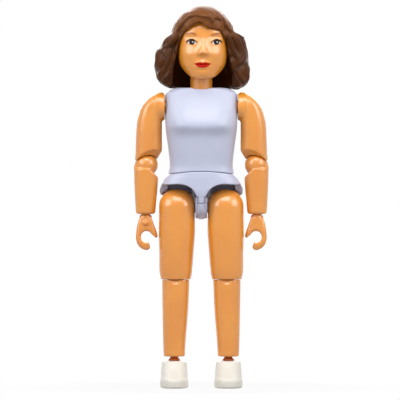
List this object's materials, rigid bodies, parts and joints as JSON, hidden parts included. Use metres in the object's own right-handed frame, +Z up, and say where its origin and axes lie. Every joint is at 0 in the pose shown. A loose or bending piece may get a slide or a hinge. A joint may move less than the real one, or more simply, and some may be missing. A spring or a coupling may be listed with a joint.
{
  "type": "jointed toy figure",
  "caption": "Free-standing jointed plastic doll with moulded wavy hair, slip-on shoes and C-shaped gripping hands, posable at the neck, waist, shoulders, elbows, wrists, hips, knees and ankles.",
  "frame": {"origin": "on the floor, in the middle of the figure's box, between the shoes", "axes": "+Z up through the crown, -Y the way the figure faces, +X to the figure's own left"},
  "size_m": [0.0384, 0.0204, 0.109],
  "materials": {
    "flesh": "gloss moulded skin-tone plastic",
    "lavender": "gloss moulded pale lavender plastic",
    "hair": "satin moulded brown plastic",
    "shoe": "gloss moulded white plastic",
    "pin": "plain natural plastic"
  },
  "bodies": {
    "pelvis": {"pelvis_front": "lavender", "pelvis_back": "lavender", "waist_peg": "pin", "hip_axle": "pin"},
    "torso": {"torso_front": "lavender", "torso_back": "lavender", "neck_post": "flesh"},
    "head": {"head": "flesh", "hair": "hair"},
    "arm_left": {"upper_arm_left": "flesh"},
    "forearm_left": {"forearm_left": "flesh", "elbow_pin_left": "pin"},
    "hand_left": {"hand_left": "flesh"},
    "arm_right": {"upper_arm_right": "flesh"},
    "forearm_right": {"forearm_right": "flesh", "elbow_pin_right": "pin"},
    "hand_right": {"hand_right": "flesh"},
    "thigh_left": {"thigh_left": "flesh", "knee_pin_left": "pin"},
    "shin_left": {"shin_left": "flesh"},
    "ankle_left": {"ankle_post_left": "flesh"},
    "foot_left": {"shoe_left": "shoe"},
    "thigh_right": {"thigh_right": "flesh", "knee_pin_right": "pin"},
    "shin_right": {"shin_right": "flesh"},
    "ankle_right": {"ankle_post_right": "flesh"},
    "foot_right": {"shoe_right": "shoe"}
  },
  "joints": [
    {"name": "waist_turn", "type": "hinge", "parent": "pelvis", "child": "torso", "pos_m": [0, 0, 0.0612], "axis": [0, 0, 1], "range_deg": [-30, 30]},
    {"name": "neck_turn", "type": "hinge", "parent": "torso", "child": "head", "pos_m": [0, 0, 0.0853], "axis": [0, 0, 1], "range_deg": [-80, 80]},
    {"name": "shoulder_swing_left", "type": "hinge", "parent": "torso", "child": "arm_left", "pos_m": [0.01058, 0, 0.08], "axis": [-1, 0, 0], "range_deg": [-90, 100]},
    {"name": "elbow_bend_left", "type": "hinge", "parent": "arm_left", "child": "forearm_left", "pos_m": [0.01565, 0, 0.0635], "axis": [-0.9945, 0.1045, 0], "range_deg": [0, 55]},
    {"name": "wrist_turn_left", "type": "hinge", "parent": "forearm_left", "child": "hand_left", "pos_m": [0.01587, 0, 0.0494], "axis": [0, 0, 1], "continuous": true},
    {"name": "shoulder_swing_right", "type": "hinge", "parent": "torso", "child": "arm_right", "pos_m": [-0.01058, 0, 0.08], "axis": [-1, 0, 0], "range_deg": [-90, 100]},
    {"name": "elbow_bend_right", "type": "hinge", "parent": "arm_right", "child": "forearm_right", "pos_m": [-0.01565, 0, 0.0635], "axis": [-0.9945, -0.1045, 0], "range_deg": [0, 55]},
    {"name": "wrist_turn_right", "type": "hinge", "parent": "forearm_right", "child": "hand_right", "pos_m": [-0.01587, 0, 0.0494], "axis": [0, 0, 1], "continuous": true},
    {"name": "hip_swing_left", "type": "hinge", "parent": "pelvis", "child": "thigh_left", "pos_m": [0.00686, 0, 0.0513], "axis": [-1, 0, 0], "range_deg": [-20, 90]},
    {"name": "knee_bend_left", "type": "hinge", "parent": "thigh_left", "child": "shin_left", "pos_m": [0.00726, 0, 0.0336], "axis": [1, 0, 0], "range_deg": [0, 90]},
    {"name": "ankle_tilt_left", "type": "hinge", "parent": "shin_left", "child": "ankle_left", "pos_m": [0.00771, 0, 0.011], "axis": [-1, 0, 0], "range_deg": [-15, 15]},
    {"name": "ankle_turn_left", "type": "hinge", "parent": "ankle_left", "child": "foot_left", "pos_m": [0.00771, 0, 0.0076], "axis": [0, 0, 1], "range_deg": [-30, 30]},
    {"name": "hip_swing_right", "type": "hinge", "parent": "pelvis", "child": "thigh_right", "pos_m": [-0.00686, 0, 0.0513], "axis": [-1, 0, 0], "range_deg": [-20, 90]},
    {"name": "knee_bend_right", "type": "hinge", "parent": "thigh_right", "child": "shin_right", "pos_m": [-0.00726, 0, 0.0336], "axis": [1, 0, 0], "range_deg": [0, 90]},
    {"name": "ankle_tilt_right", "type": "hinge", "parent": "shin_right", "child": "ankle_right", "pos_m": [-0.00771, 0, 0.011], "axis": [-1, 0, 0], "range_deg": [-15, 15]},
    {"name": "ankle_turn_right", "type": "hinge", "parent": "ankle_right", "child": "foot_right", "pos_m": [-0.00771, 0, 0.0076], "axis": [0, 0, 1], "range_deg": [-30, 30]}
  ]
}
